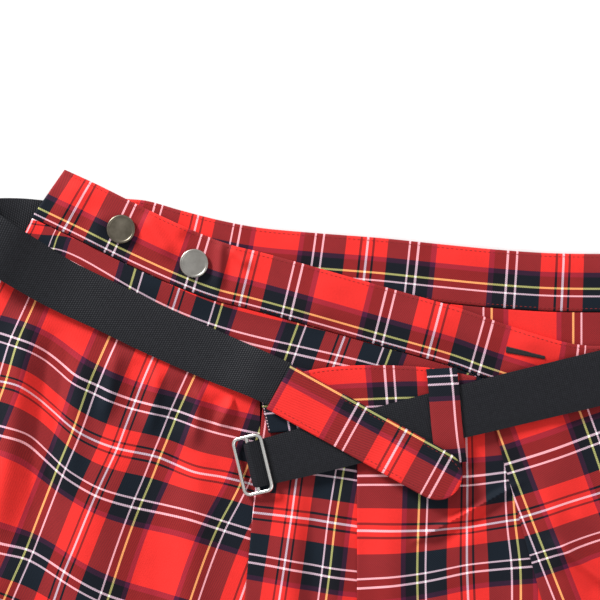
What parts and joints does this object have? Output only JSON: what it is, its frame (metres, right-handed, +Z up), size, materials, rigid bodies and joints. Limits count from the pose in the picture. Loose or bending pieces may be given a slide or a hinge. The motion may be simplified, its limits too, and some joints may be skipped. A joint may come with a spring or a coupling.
{
  "type": "scottish kilt",
  "caption": "Short pleated tartan wrap kilt laid flat, front side up, with its dark webbing belt, wire buckle and metal waistband buttons",
  "frame": {"origin": "middle of the footprint, on the surface the kilt lies on", "axes": "+X to the right as seen from above with the waist away from the viewer, +Y from hem to waist, +Z up out of the surface"},
  "size_m": [0.7238, 0.44, 0.0168],
  "materials": {
    "tartan": "twill-woven tartan, red ground with green-black, blue-purple, yellow and white lines, soft low sheen",
    "webbing": "fine cross-ribbed charcoal webbing, low sheen",
    "metal": "polished silver-coloured metal with light wear"
  },
  "bodies": {
    "root": {"back_skirt": "tartan", "back_waistband": "tartan", "front_apron": "tartan", "front_waistband": "tartan", "hip_strip": "tartan", "front_pleat_1": "tartan", "front_pleat_2": "tartan", "front_pleat_3": "tartan", "front_pleat_4": "tartan", "belt_loop": "tartan", "tab": "tartan", "webbing_left": "webbing", "webbing_back": "webbing", "webbing_right": "webbing", "buckle": "metal", "button_1": "metal", "button_2": "metal"}
  },
  "joints": []
}
